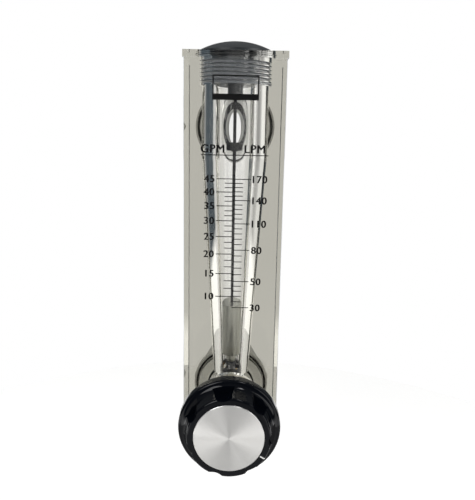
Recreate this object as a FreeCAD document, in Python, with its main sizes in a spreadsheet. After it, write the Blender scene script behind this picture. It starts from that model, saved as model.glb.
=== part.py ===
import FreeCAD, Part
import math
import os
import sys

import Sketcher
from FreeCAD import Placement, Rotation, Vector

# Panel-mounted liquid flow meter: a clear acrylic block with a tapered vertical tube, a float on a
# guide rod, and a hand valve at the foot. Origin: on the inlet's axis, in the plane where the rear
# connectors' collars meet the panel. +Z is up, -Y is the front, +X is to the right seen from the front.

# Every independent size, in millimetres unless the name says otherwise.
SIZES = {
    # Acrylic block, and the slightly wider band left at its head
    "block_width": 60.0,
    "block_depth": 60.0,
    "block_height": 244.0,
    "inlet_height": 24.0,
    "port_spacing": 178.0,
    "edge_chamfer": 0.3,
    "head_band_height": 4.0,
    "head_band_step": 0.6,
    # Vertical bore, from the head down to the foot of the tapered tube
    "cap_recess_depth": 2.2,
    "cap_recess_radius": 24.2,
    "cap_thread_radius": 22.0,
    "cap_thread_length": 16.0,
    "chamber_bore_radius": 20.5,
    "tube_top_radius": 17.8,
    "tube_foot_radius": 11.4,
    "tube_length": 135.0,
    "throat_length": 1.2,
    "tube_mouth_length": 6.0,
    "throat_radius": 10.2,
    # Valve bore at the front, and its seat
    "bonnet_thread_radius": 20.0,
    "bonnet_thread_depth": 15.0,
    "bonnet_recess_radius": 22.2,
    "bonnet_recess_depth": 2.0,
    "valve_chamber_radius": 15.8,
    "seat_depth": 14.0,
    "waterway_radius": 12.0,
    # Ports at the rear
    "port_thread_radius": 22.5,
    "port_thread_depth": 6.0,
    "port_recess_radius": 24.6,
    "port_recess_depth": 1.5,
    "gasket_recess_radius": 16.5,
    "gasket_recess_depth": 3.0,
    # General fits
    "thread_clearance": 0.15,
    "running_clearance": 0.06,
    "seat_clearance": 0.3,
    # Head plug
    "plug_head_radius": 24.6,
    "plug_rim_height": 2.4,
    "plug_dome_rise": 6.6,
    "plug_shank_length": 17.0,
    "plug_boss_radius": 7.0,
    "plug_boss_length": 7.0,
    "plug_hex_flats": 14.0,
    "plug_hex_depth": 5.0,
    "plug_ring_section": 2.2,
    # Guide rod, float and what stops it
    "rod_radius": 1.5,
    "rod_socket_depth": 17.0,
    "rod_foot_drop": 1.5,
    "float_radius": 9.8,
    "float_length": 34.0,
    "float_nose_radius": 4.9,
    "float_nose_length": 6.2,
    "float_edge": 0.5,
    "float_clearance": 0.1,
    "stop_height": 163.0,
    "stop_radius": 7.5,
    "stop_thickness": 5.0,
    "holder_ring_thickness": 2.5,
    "holder_ring_width": 2.2,
    "holder_hub_radius": 5.2,
    "holder_hub_drop": 2.0,
    "holder_dome_height": 3.1,
    "holder_spoke_width": 2.6,
    "holder_spoke_count": 3.0,
    # Valve bonnet, gland nut and packing
    "bonnet_flange_radius": 22.6,
    "bonnet_flange_thickness": 4.5,
    "bonnet_ring_section": 2.0,
    "bonnet_neck_radius": 9.5,
    "bonnet_neck_length": 8.5,
    "gland_flats": 24.0,
    "gland_gap": 1.5,
    "gland_wall": 2.5,
    "packing_thickness": 1.5,
    "packing_radius": 9.0,
    # Stem, and the disc that closes the seat
    "stem_radius": 5.0,
    "stem_neck_radius": 4.0,
    "stem_button_radius": 6.0,
    "stem_button_length": 4.8,
    "stem_end_radius": 4.0,
    "disc_radius": 14.3,
    "disc_thickness": 3.0,
    "disc_plate_thickness": 4.0,
    "disc_boss_radius": 8.5,
    "disc_lip_thickness": 3.0,
    "disc_screw_radius": 2.0,
    "disc_screw_head_radius": 4.0,
    "disc_screw_head_height": 2.4,
    "disc_screw_slot": 1.0,
    # Knob
    "knob_standoff": 19.5,
    "knob_skirt_radius": 30.75,
    "knob_skirt_height": 8.0,
    "knob_skirt_wall": 3.2,
    "knob_rim_round": 1.6,
    "knob_skirt_ledge": 4.75,
    "knob_grip_draft": 1.1,
    "knob_flare_height": 3.4,
    "knob_height": 19.5,
    "knob_face_round": 1.4,
    "knob_hollow_depth": 7.5,
    "knob_hub_radius": 10.5,
    "knob_hub_drop": 1.0,
    "flute_radius": 8.0,
    "flute_depth": 1.9,
    "flute_count": 7.0,
    "flute_start": 8.8,
    "knob_turn_degrees": 17.9,
    "face_disc_border": 4.2,
    "face_disc_thickness": 1.0,
    "face_disc_proud": 0.2,
    "insert_radius": 7.0,
    "insert_length": 17.0,
    "set_screw_radius": 2.0,
    "set_screw_height": 4.5,
    "set_screw_socket": 1.0,
    # Rear connectors, their rings and lock nuts
    "collar_radius": 25.8,
    "collar_thickness": 4.0,
    "nut_thread_radius": 17.2,
    "nut_thread_spare": 1.0,
    "pipe_thread_radius": 16.6,
    "pipe_thread_length": 30.0,
    "pipe_end_chamfer": 1.5,
    "gasket_thickness": 1.8,
    "port_ring_section": 1.5,
    "lock_nut_flats": 46.0,
    "lock_nut_thickness": 7.0,
    "lock_nut_corner": 1.2,
    "panel_space": 5.0,
}

LENGTH_TOLERANCE = 1e-9
SHEET = "Sizes"

doc = FreeCAD.newDocument("flow_meter")
sheet = doc.addObject("Spreadsheet::Sheet", SHEET)


class Dimension:
    """A length worked out from the sheet: its number now, and the expression that keeps it live."""

    def __init__(self, value, text):
        self.value = value
        self.text = text

    @staticmethod
    def of(other):
        if isinstance(other, Dimension):
            return other
        return Dimension(float(other), repr(other))

    def __add__(self, other):
        other = Dimension.of(other)
        return Dimension(self.value + other.value, "(%s + %s)" % (self.text, other.text))

    def __sub__(self, other):
        other = Dimension.of(other)
        return Dimension(self.value - other.value, "(%s - %s)" % (self.text, other.text))

    def __mul__(self, other):
        other = Dimension.of(other)
        return Dimension(self.value * other.value, "(%s * %s)" % (self.text, other.text))

    def __truediv__(self, other):
        other = Dimension.of(other)
        return Dimension(self.value / other.value, "(%s / %s)" % (self.text, other.text))

    def __neg__(self):
        return Dimension(-self.value, "(0 - %s)" % self.text)


class SizeTable:
    """Gives each named size of the sheet as a Dimension."""

    def __getattr__(self, name):
        return Dimension(SIZES[name], "%s.%s" % (SHEET, name))


def fill_sheet():
    for row, (name, value) in enumerate(SIZES.items(), start=1):
        sheet.set("A%d" % row, name)
        sheet.set("B%d" % row, str(value))
        sheet.setAlias("B%d" % row, name)
    doc.recompute()


fill_sheet()
s = SizeTable()
NOTHING = s.block_width * 0

# Places that several pieces share, worked out once from the sizes
back_face = -s.collar_thickness
front_face = back_face - s.block_depth
bore_axis = back_face - s.block_depth / 2
block_foot = -s.inlet_height
block_head = s.block_height - s.inlet_height
cap_thread_top = block_head - s.cap_recess_depth
cap_thread_foot = cap_thread_top - s.cap_thread_length
tube_foot = s.valve_chamber_radius + s.throat_length
tube_top = tube_foot + s.tube_length
seat_face = back_face - s.seat_depth
gasket_floor = back_face - s.port_thread_depth - s.gasket_recess_depth
holder_top = tube_foot + s.holder_ring_thickness
dome_top = holder_top + s.holder_dome_height
float_foot = dome_top + s.seat_clearance
float_shoulder = float_foot + s.float_nose_length
float_top = float_shoulder + s.float_length
knob_back = front_face - s.knob_standoff
knob_front = knob_back - s.knob_height
hub_back = knob_back + s.knob_hub_drop
grip_foot_radius = s.knob_skirt_radius - s.knob_skirt_ledge
grip_radius = grip_foot_radius - s.knob_grip_draft
face_disc_radius = grip_radius - s.face_disc_border


def plane(body, role):
    for feature in body.Origin.OriginFeatures:
        if feature.Role == role:
            return feature
    raise ValueError(role)


def new_body(label):
    body = doc.addObject("PartDesign::Body", label)
    body.Label = label
    return body


def new_sketch(body, name, role, shift=None, lift=None):
    sketch = body.newObject("Sketcher::SketchObject", name)
    sketch.AttachmentSupport = [(plane(body, role), "")]
    sketch.MapMode = "FlatFace"
    if shift is not None:
        sketch.setExpression(".AttachmentOffset.Base.x", shift.text)
    if lift is not None:
        sketch.setExpression(".AttachmentOffset.Base.z", lift.text)
    return sketch


def fix_point(sketch, geometry, end, along, up):
    """Ties one end of a line, or a centre, to the sketch's origin by two sizes."""
    for kind, axis, place in (("DistanceX", -2, along), ("DistanceY", -1, up)):
        if place.text == NOTHING.text:
            sketch.addConstraint(Sketcher.Constraint("PointOnObject", geometry, end, axis))
        else:
            tie = Sketcher.Constraint(kind, -1, 1, geometry, end, place.value)
            index = sketch.addConstraint(tie)
            sketch.setExpression("Constraints[%d]" % index, place.text)


def outline(sketch, points):
    """Closes an outline through points (along, up). A third entry is the radius of the arc that
    runs from that point to the next; a negative radius bows the arc to the other side."""
    places = [Vector(point[0].value, point[1].value, 0) for point in points]
    edges = []
    for index, point in enumerate(points):
        start = places[index]
        end = places[(index + 1) % len(points)]
        if len(point) == 3:
            edges.append(sketch.addGeometry(arc_between(start, end, point[2].value)))
            tie = Sketcher.Constraint("Radius", edges[-1], abs(point[2].value))
            number = sketch.addConstraint(tie)
            sketch.setExpression("Constraints[%d]" % number, "abs(%s)" % point[2].text)
        else:
            edges.append(sketch.addGeometry(Part.LineSegment(start, end)))
    first_ends = []
    for index, point in enumerate(points):
        bowed = len(point) == 3 and point[2].value < 0
        first_ends.append(2 if bowed else 1)
    for index, edge in enumerate(edges):
        following = (index + 1) % len(edges)
        last_end = 1 if first_ends[index] == 2 else 2
        sketch.addConstraint(
            Sketcher.Constraint("Coincident", edge, last_end, edges[following], first_ends[following])
        )
        fix_point(sketch, edge, first_ends[index], points[index][0], points[index][1])


def arc_between(start, end, radius):
    """The shorter arc from start to end, turning left for a positive radius."""
    if radius < 0:
        start, end = end, start
    half = (end - start) * 0.5
    rise = math.sqrt(max(radius * radius - half.Length * half.Length, 0.0))
    left = Vector(-half.y, half.x, 0)
    left.normalize()
    centre = start + half + left * rise
    circle = Part.Circle(centre, Vector(0, 0, 1), abs(radius))
    begin = math.atan2(start.y - centre.y, start.x - centre.x)
    finish = math.atan2(end.y - centre.y, end.x - centre.x)
    return Part.ArcOfCircle(circle, begin, finish)


def circle(sketch, along, up, radius):
    centre = Vector(along.value, up.value, 0)
    edge = sketch.addGeometry(Part.Circle(centre, Vector(0, 0, 1), radius.value))
    index = sketch.addConstraint(Sketcher.Constraint("Radius", edge, radius.value))
    sketch.setExpression("Constraints[%d]" % index, radius.text)
    fix_point(sketch, edge, 3, along, up)


def regular_polygon(sketch, flats, sides):
    """An even outline about the sketch's origin, with the given size across its flats."""
    corner = flats / (2 * math.cos(math.pi / sides))
    points = []
    for index in range(sides):
        turn = 2 * math.pi * index / sides
        points.append((corner * math.cos(turn), corner * math.sin(turn)))
    outline(sketch, points)


def spin(body, sketch, axis, cut=False):
    kind = "PartDesign::Groove" if cut else "PartDesign::Revolution"
    feature = body.newObject(kind, sketch.Name + "_spun")
    feature.Profile = sketch
    feature.ReferenceAxis = (sketch, [axis])
    feature.Angle = 360.0
    return feature


def extrude(body, sketch, length, cut=False, back=False, both=False):
    kind = "PartDesign::Pocket" if cut else "PartDesign::Pad"
    feature = body.newObject(kind, sketch.Name + "_run")
    feature.Profile = sketch
    feature.setExpression("Length", length.text)
    feature.Reversed = back
    feature.Midplane = both
    return feature


def turned_on_bore(label, points):
    """A piece turned about the vertical bore's axis, from (radius, height) points."""
    body = new_body(label)
    sketch = new_sketch(body, label + "_profile", "XZ_Plane")
    outline(sketch, points)
    spin(body, sketch, "V_Axis")
    body.setExpression(".Placement.Base.y", bore_axis.text)
    return body


def turned_on_valve(label, points):
    """A piece turned about the inlet's axis, from (distance along Y, radius) points."""
    body = new_body(label)
    sketch = new_sketch(body, label + "_profile", "YZ_Plane")
    outline(sketch, points)
    spin(body, sketch, "H_Axis")
    return body


def rubber_ring(label, mean_radius, section, along=None, height=None, lying=False):
    """An O-ring: lying flat round the bore, or standing round a port's axis."""
    ring = doc.addObject("Part::Torus", label)
    ring.Label = label
    ring.setExpression("Radius1", mean_radius.text)
    ring.setExpression("Radius2", (section / 2).text)
    if not lying:
        ring.Placement = Placement(Vector(0, 0, 0), Rotation(Vector(1, 0, 0), 90))
    if along is not None:
        ring.setExpression(".Placement.Base.y", along.text)
    if height is not None:
        ring.setExpression(".Placement.Base.z", height.text)
    return ring


def make_acrylic_body():
    body = new_body("acrylic_body")
    half_width = s.block_width / 2
    foot = new_sketch(body, "block_section", "XY_Plane", lift=block_foot)
    outline(
        foot,
        [
            (-half_width, front_face),
            (half_width, front_face),
            (half_width, back_face),
            (-half_width, back_face),
        ],
    )
    block = extrude(body, foot, s.block_height)
    doc.recompute()
    corners = upright_edges(block.Shape)
    chamfer = body.newObject("PartDesign::Chamfer", "block_corners")
    chamfer.Base = (block, corners)
    chamfer.setExpression("Size", s.edge_chamfer.text)

    band = new_sketch(body, "head_band_section", "XY_Plane", lift=block_head)
    reach = half_width + s.head_band_step
    outline(
        band,
        [
            (-reach, front_face - s.head_band_step),
            (reach, front_face - s.head_band_step),
            (reach, back_face),
            (-reach, back_face),
        ],
    )
    extrude(body, band, s.head_band_height, back=True)

    bore = new_sketch(body, "bore_profile", "YZ_Plane", shift=bore_axis)
    outline(
        bore,
        [
            (NOTHING, NOTHING),
            (s.throat_radius, NOTHING),
            (s.throat_radius, tube_foot),
            (s.tube_foot_radius, tube_foot),
            (s.tube_top_radius, tube_top),
            (s.chamber_bore_radius, tube_top + s.tube_mouth_length),
            (s.chamber_bore_radius, cap_thread_foot),
            (s.cap_thread_radius, cap_thread_foot),
            (s.cap_thread_radius, cap_thread_top),
            (s.cap_recess_radius, cap_thread_top),
            (s.cap_recess_radius, block_head),
            (NOTHING, block_head),
        ],
    )
    spin(body, bore, "V_Axis", cut=True)

    valve = new_sketch(body, "valve_bore_profile", "YZ_Plane")
    chamber_front = front_face + s.bonnet_thread_depth
    outline(
        valve,
        [
            (front_face, NOTHING),
            (front_face, s.bonnet_recess_radius),
            (front_face + s.bonnet_recess_depth, s.bonnet_recess_radius),
            (front_face + s.bonnet_recess_depth, s.bonnet_thread_radius),
            (chamber_front, s.bonnet_thread_radius),
            (chamber_front, s.valve_chamber_radius),
            (seat_face, s.valve_chamber_radius),
            (seat_face, s.waterway_radius),
            (gasket_floor, s.waterway_radius),
            (gasket_floor, s.gasket_recess_radius),
            (back_face - s.port_thread_depth, s.gasket_recess_radius),
            (back_face - s.port_thread_depth, s.port_thread_radius),
            (back_face - s.port_recess_depth, s.port_thread_radius),
            (back_face - s.port_recess_depth, s.port_recess_radius),
            (back_face, s.port_recess_radius),
            (back_face, NOTHING),
        ],
    )
    spin(body, valve, "H_Axis", cut=True)

    outlet = new_sketch(body, "outlet_profile", "YZ_Plane")
    outlet.setExpression(".AttachmentOffset.Base.y", s.port_spacing.text)
    outline(
        outlet,
        [
            (bore_axis, NOTHING),
            (bore_axis, s.waterway_radius),
            (gasket_floor, s.waterway_radius),
            (gasket_floor, s.gasket_recess_radius),
            (back_face - s.port_thread_depth, s.gasket_recess_radius),
            (back_face - s.port_thread_depth, s.port_thread_radius),
            (back_face - s.port_recess_depth, s.port_thread_radius),
            (back_face - s.port_recess_depth, s.port_recess_radius),
            (back_face, s.port_recess_radius),
            (back_face, NOTHING),
        ],
    )
    spin(body, outlet, "H_Axis", cut=True)
    return body


def upright_edges(shape):
    """The four long corners of the plain block."""
    names = []
    for index, edge in enumerate(shape.Edges, start=1):
        box = edge.BoundBox
        if box.ZLength > 0 and box.XLength < LENGTH_TOLERANCE and box.YLength < LENGTH_TOLERANCE:
            names.append("Edge%d" % index)
    return names


def make_top_plug():
    shank_radius = s.cap_thread_radius - s.thread_clearance
    shank_foot = block_head - s.plug_shank_length
    boss_foot = shank_foot - s.plug_boss_length
    rim = block_head + s.plug_rim_height
    crown = rim + s.plug_dome_rise
    head = s.plug_head_radius
    rise = s.plug_dome_rise
    dome_radius = (head * head + rise * rise) / (rise * 2)
    body = turned_on_bore(
        "top_plug",
        [
            (s.rod_radius, boss_foot),
            (s.plug_boss_radius, boss_foot),
            (s.plug_boss_radius, shank_foot),
            (shank_radius, shank_foot),
            (shank_radius, block_head),
            (head, block_head),
            (head, rim, dome_radius),
            (NOTHING, crown),
            (NOTHING, boss_foot + s.rod_socket_depth),
            (s.rod_radius, boss_foot + s.rod_socket_depth),
        ],
    )
    socket = new_sketch(body, "plug_socket", "XY_Plane", lift=crown)
    regular_polygon(socket, s.plug_hex_flats, 6)
    extrude(body, socket, s.plug_hex_depth, cut=True)
    return body


def make_guide_rod():
    shank_foot = block_head - s.plug_shank_length
    top = shank_foot - s.plug_boss_length + s.rod_socket_depth
    foot = tube_foot - s.rod_foot_drop
    return turned_on_bore(
        "guide_rod",
        [
            (NOTHING, foot),
            (s.rod_radius, foot),
            (s.rod_radius, top),
            (NOTHING, top),
        ],
    )


def make_float():
    bore = s.rod_radius + s.float_clearance
    edge = s.float_edge
    return turned_on_bore(
        "float",
        [
            (bore, float_foot),
            (s.float_nose_radius - edge, float_foot),
            (s.float_nose_radius, float_foot + edge),
            (s.float_nose_radius, float_shoulder),
            (s.float_radius - edge, float_shoulder),
            (s.float_radius, float_shoulder + edge),
            (s.float_radius, float_top),
            (bore, float_top),
        ],
    )


def make_upper_stop():
    edge = s.float_edge
    top = s.stop_height + s.stop_thickness
    return turned_on_bore(
        "upper_float_stop",
        [
            (s.rod_radius, s.stop_height),
            (s.stop_radius - edge, s.stop_height),
            (s.stop_radius, s.stop_height + edge),
            (s.stop_radius, top - edge),
            (s.stop_radius - edge, top),
            (s.rod_radius, top),
        ],
    )


def make_lower_holder():
    """The domed hub that carries the rod's foot, on spokes inside a ring that sits in the tube."""
    hub = s.holder_hub_radius
    foot = tube_foot
    ring_outer = s.tube_foot_radius - s.thread_clearance
    ring_inner = ring_outer - s.holder_ring_width
    rise = s.holder_dome_height
    land = s.rod_radius * 2
    dome_radius = ((hub - land) * (hub - land) + rise * rise) / (rise * 2)
    body = turned_on_bore(
        "lower_rod_holder",
        [
            (s.rod_radius, foot - s.holder_hub_drop),
            (hub, foot - s.holder_hub_drop),
            (hub, holder_top, dome_radius),
            (land, dome_top),
            (s.rod_radius, dome_top),
        ],
    )
    sides = ring_outer - s.rod_radius * 2
    spoke = new_sketch(body, "holder_spoke", "XY_Plane", lift=foot)
    half = s.holder_spoke_width / 2
    inner = s.rod_radius * 2
    outline(
        spoke,
        [(inner, -half), (inner + sides, -half), (inner + sides, half), (inner, half)],
    )
    arm = extrude(body, spoke, s.holder_ring_thickness)
    doc.recompute()
    arms = body.newObject("PartDesign::PolarPattern", "holder_spokes")
    arms.Originals = [arm]
    arms.Axis = (plane(body, "Z_Axis"), [""])
    arms.Angle = 360.0
    arms.setExpression("Occurrences", s.holder_spoke_count.text)
    body.Tip = arms
    ring = new_sketch(body, "holder_ring", "XZ_Plane")
    outline(
        ring,
        [
            (ring_inner, foot),
            (ring_outer, foot),
            (ring_outer, holder_top),
            (ring_inner, holder_top),
        ],
    )
    spin(body, ring, "V_Axis")
    return body


def make_bonnet():
    barrel = s.bonnet_thread_radius - s.thread_clearance
    flange_front = front_face - s.bonnet_flange_thickness
    neck_front = flange_front - s.bonnet_neck_length
    inner_end = front_face + s.bonnet_thread_depth - s.seat_clearance
    bore = s.stem_radius + s.running_clearance
    return turned_on_valve(
        "valve_bonnet",
        [
            (inner_end, bore),
            (inner_end, barrel),
            (front_face, barrel),
            (front_face, s.bonnet_flange_radius),
            (flange_front, s.bonnet_flange_radius),
            (flange_front, s.bonnet_neck_radius),
            (neck_front, s.bonnet_neck_radius),
            (neck_front, bore),
        ],
    )


def make_gland_nut():
    """A hexagonal cap over the bonnet's neck, which holds the packing ring round the stem."""
    neck_front = front_face - s.bonnet_flange_thickness - s.bonnet_neck_length
    back = front_face - s.bonnet_flange_thickness - s.gland_gap
    wall_back = neck_front - s.packing_thickness
    front = wall_back - s.gland_wall
    body = new_body("gland_nut")
    section = new_sketch(body, "gland_hexagon", "XZ_Plane", lift=-front)
    regular_polygon(section, s.gland_flats, 6)
    extrude(body, section, back - front, back=True)
    hollow = new_sketch(body, "gland_hollow", "YZ_Plane")
    inside = s.bonnet_neck_radius + s.thread_clearance
    hole = s.stem_radius + s.seat_clearance
    outline(
        hollow,
        [
            (back, NOTHING),
            (back, inside),
            (wall_back, inside),
            (wall_back, hole),
            (front, hole),
            (front, NOTHING),
        ],
    )
    spin(body, hollow, "H_Axis", cut=True)
    return body


def make_packing():
    neck_front = front_face - s.bonnet_flange_thickness - s.bonnet_neck_length
    bore = s.stem_radius + s.running_clearance
    return turned_on_valve(
        "stem_packing",
        [
            (neck_front, bore),
            (neck_front, s.packing_radius),
            (neck_front - s.packing_thickness, s.packing_radius),
            (neck_front - s.packing_thickness, bore),
        ],
    )


disc_front = seat_face - s.disc_thickness
button_back = disc_front - s.disc_plate_thickness
cavity_front = button_back - s.stem_button_length - s.running_clearance * 2
boss_front = cavity_front - s.disc_lip_thickness


def make_stem():
    """The stem turns in the disc holder on a button end, and its front end carries the knob."""
    button_rear = button_back - s.running_clearance
    button_front = button_rear - s.stem_button_length
    body_rear = boss_front - s.seat_clearance
    end_rear = hub_back
    tip = hub_back - s.insert_length + s.seat_clearance
    return turned_on_valve(
        "valve_stem",
        [
            (button_rear, NOTHING),
            (button_rear, s.stem_button_radius),
            (button_front, s.stem_button_radius),
            (button_front, s.stem_neck_radius),
            (body_rear, s.stem_neck_radius),
            (body_rear, s.stem_radius),
            (end_rear, s.stem_radius),
            (end_rear, s.stem_end_radius),
            (tip, s.stem_end_radius),
            (tip, NOTHING),
        ],
    )


def make_disc_holder():
    cavity = s.stem_button_radius + s.running_clearance
    lip = s.stem_neck_radius + s.running_clearance
    screw = s.disc_screw_radius
    return turned_on_valve(
        "valve_disc_holder",
        [
            (disc_front, screw),
            (disc_front, s.disc_radius),
            (disc_front - s.disc_thickness, s.disc_radius),
            (disc_front - s.disc_thickness, s.disc_boss_radius),
            (boss_front, s.disc_boss_radius),
            (boss_front, lip),
            (cavity_front, lip),
            (cavity_front, cavity),
            (button_back, cavity),
            (button_back, screw),
        ],
    )


def make_valve_disc():
    return turned_on_valve(
        "valve_disc",
        [
            (seat_face, s.disc_screw_radius),
            (seat_face, s.disc_radius),
            (disc_front, s.disc_radius),
            (disc_front, s.disc_screw_radius),
        ],
    )


def make_disc_screw():
    head_back = seat_face + s.disc_screw_head_height
    tip = button_back + s.seat_clearance
    body = turned_on_valve(
        "valve_disc_screw",
        [
            (head_back, NOTHING),
            (head_back, s.disc_screw_head_radius),
            (seat_face, s.disc_screw_head_radius),
            (seat_face, s.disc_screw_radius),
            (tip, s.disc_screw_radius),
            (tip, NOTHING),
        ],
    )
    slot = new_sketch(body, "screw_slot", "XZ_Plane", lift=-head_back)
    half = s.disc_screw_slot / 2
    reach = s.disc_screw_head_radius
    outline(slot, [(-reach, -half), (reach, -half), (reach, half), (-reach, half)])
    extrude(body, slot, s.disc_screw_slot, cut=True, back=True)
    return body


def turn_with_knob(piece):
    """Sets the pieces of the knob to the angle at which it stands."""
    piece.Placement = Placement(Vector(0, 0, 0), Rotation(Vector(0, 1, 0), 1))
    piece.setExpression(".Placement.Rotation.Angle", s.knob_turn_degrees.text)


def make_knob_body():
    """A moulded skirted knob: hollow skirt, flared foot, and a grip with scalloped flutes."""
    skirt = s.knob_skirt_radius
    rim = s.knob_rim_round
    skirt_front = knob_back - s.knob_skirt_height
    flare_front = skirt_front - s.knob_flare_height
    face = s.knob_face_round
    recess = face_disc_radius + s.running_clearance
    recess_floor = knob_front - s.face_disc_proud + s.face_disc_thickness
    hollow_floor = knob_back - s.knob_hollow_depth
    flare_radius = s.knob_skirt_ledge
    insert_front = hub_back - s.insert_length
    body = turned_on_valve(
        "knob_body",
        [
            (hub_back, s.insert_radius),
            (hub_back, s.knob_hub_radius),
            (hollow_floor, s.knob_hub_radius),
            (hollow_floor, skirt - s.knob_skirt_wall),
            (knob_back, skirt - s.knob_skirt_wall),
            (knob_back, skirt - rim, rim),
            (knob_back - rim, skirt),
            (skirt_front + rim, skirt, rim),
            (skirt_front, skirt - rim, -flare_radius),
            (flare_front, grip_foot_radius),
            (knob_front + face, grip_radius, face),
            (knob_front, grip_radius - face),
            (knob_front, recess),
            (recess_floor, recess),
            (recess_floor, NOTHING),
            (insert_front, NOTHING),
            (insert_front, s.insert_radius),
        ],
    )
    flute = new_sketch(body, "knob_flute", "XZ_Plane", lift=-knob_front)
    centre = grip_radius - s.flute_depth + s.flute_radius
    circle(flute, NOTHING, -centre, s.flute_radius)
    cut = extrude(body, flute, s.knob_height - s.flute_start, cut=True)
    doc.recompute()
    flutes = body.newObject("PartDesign::PolarPattern", "knob_flutes")
    flutes.Originals = [cut]
    flutes.Axis = (plane(body, "Y_Axis"), [""])
    flutes.Angle = 360.0
    flutes.setExpression("Occurrences", s.flute_count.text)
    body.Tip = flutes
    hole = new_sketch(body, "key_hole", "XY_Plane")
    circle(hole, NOTHING, knob_back - s.set_screw_height, s.set_screw_radius)
    extrude(body, hole, s.knob_skirt_radius * 2, cut=True)
    turn_with_knob(body)
    return body


def make_knob_insert():
    bore = s.stem_end_radius
    front = hub_back - s.insert_length
    body = turned_on_valve(
        "knob_insert",
        [
            (hub_back, bore),
            (hub_back, s.insert_radius),
            (front, s.insert_radius),
            (front, bore),
        ],
    )
    hole = new_sketch(body, "insert_hole", "XY_Plane")
    circle(hole, NOTHING, knob_back - s.set_screw_height, s.set_screw_radius)
    extrude(body, hole, s.insert_radius * 2, cut=True)
    turn_with_knob(body)
    return body


def make_set_screw():
    """A socket set screw that runs down through the hub and bears on the stem."""
    body = new_body("knob_set_screw")
    section = new_sketch(body, "set_screw_section", "XY_Plane", lift=-s.knob_hub_radius)
    circle(section, NOTHING, knob_back - s.set_screw_height, s.set_screw_radius)
    extrude(body, section, s.knob_hub_radius - s.stem_end_radius)
    socket = new_sketch(body, "set_screw_socket", "XY_Plane", lift=-s.knob_hub_radius)
    circle(socket, NOTHING, knob_back - s.set_screw_height, s.set_screw_socket)
    extrude(body, socket, s.set_screw_radius, cut=True, back=True)
    turn_with_knob(body)
    return body


def make_face_disc():
    front = knob_front - s.face_disc_proud
    edge = s.face_disc_proud
    return turned_on_valve(
        "knob_face_disc",
        [
            (front + s.face_disc_thickness, NOTHING),
            (front + s.face_disc_thickness, face_disc_radius),
            (front + edge, face_disc_radius),
            (front, face_disc_radius - edge),
            (front, NOTHING),
        ],
    )


def raise_to_outlet(piece):
    piece.setExpression(".Placement.Base.z", s.port_spacing.text)


def make_connector(label):
    """A threaded union: plug into the block, collar against it, then the lock nut's thread, which
    is the wider one so that the nut passes over the pipe thread, and the pipe thread."""
    plug = s.port_thread_radius - s.thread_clearance
    nose = s.gasket_recess_radius - s.thread_clearance
    nose_end = gasket_floor + s.gasket_thickness
    plug_end = back_face - s.port_thread_depth + s.seat_clearance
    chamfer = s.pipe_end_chamfer
    nut_thread_end = s.panel_space + s.lock_nut_thickness + s.nut_thread_spare
    return turned_on_valve(
        label,
        [
            (nose_end, s.waterway_radius),
            (nose_end, nose),
            (plug_end, nose),
            (plug_end, plug),
            (back_face, plug),
            (back_face, s.collar_radius),
            (NOTHING, s.collar_radius),
            (NOTHING, s.nut_thread_radius),
            (nut_thread_end, s.nut_thread_radius),
            (nut_thread_end, s.pipe_thread_radius),
            (s.pipe_thread_length - chamfer, s.pipe_thread_radius),
            (s.pipe_thread_length, s.pipe_thread_radius - chamfer),
            (s.pipe_thread_length, s.waterway_radius),
        ],
    )


def make_gasket(label):
    return turned_on_valve(
        label,
        [
            (gasket_floor, s.waterway_radius),
            (gasket_floor, s.gasket_recess_radius - s.thread_clearance),
            (gasket_floor + s.gasket_thickness, s.gasket_recess_radius - s.thread_clearance),
            (gasket_floor + s.gasket_thickness, s.waterway_radius),
        ],
    )


def make_lock_nut(label):
    """A hexagonal nut with turned-down corners, which clamps the panel to the collar."""
    rear = s.panel_space + s.lock_nut_thickness
    body = new_body(label)
    section = new_sketch(body, label + "_hexagon", "XZ_Plane", lift=-rear)
    regular_polygon(section, s.lock_nut_flats, 6)
    extrude(body, section, s.lock_nut_thickness)
    bore = new_sketch(body, label + "_bore", "XZ_Plane", lift=-rear)
    circle(bore, NOTHING, NOTHING, s.nut_thread_radius + s.thread_clearance)
    extrude(body, bore, s.lock_nut_thickness, cut=True, back=True)
    corners = new_sketch(body, label + "_corners", "YZ_Plane")
    far = s.lock_nut_flats
    touch = s.lock_nut_flats / 2
    outline(
        corners,
        [
            (rear, touch),
            (rear, far),
            (rear - (far - touch) * (s.lock_nut_corner / touch), far),
        ],
    )
    spin(body, corners, "H_Axis", cut=True)
    return body


def make_everything():
    pieces = [
        make_acrylic_body(),
        make_top_plug(),
        rubber_ring(
            "top_plug_o_ring",
            s.cap_recess_radius - s.plug_ring_section / 2,
            s.plug_ring_section,
            along=bore_axis,
            height=block_head - s.plug_ring_section / 2,
            lying=True,
        ),
        make_guide_rod(),
        make_float(),
        make_upper_stop(),
        make_lower_holder(),
        make_bonnet(),
        rubber_ring(
            "bonnet_o_ring",
            s.bonnet_recess_radius - s.bonnet_ring_section / 2,
            s.bonnet_ring_section,
            along=front_face + s.bonnet_ring_section / 2,
        ),
        make_gland_nut(),
        make_packing(),
        make_stem(),
        make_disc_holder(),
        make_valve_disc(),
        make_disc_screw(),
        make_knob_body(),
        make_knob_insert(),
        make_set_screw(),
        make_face_disc(),
    ]
    for side in ("inlet", "outlet"):
        group = [
            make_connector(side + "_connector"),
            make_gasket(side + "_gasket"),
            make_lock_nut(side + "_lock_nut"),
        ]
        ring = rubber_ring(
            side + "_o_ring",
            s.port_recess_radius - s.port_ring_section / 2,
            s.port_ring_section,
            along=back_face - s.port_ring_section / 2,
        )
        group.append(ring)
        if side == "outlet":
            for piece in group:
                raise_to_outlet(piece)
        pieces.extend(group)
    return pieces


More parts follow.
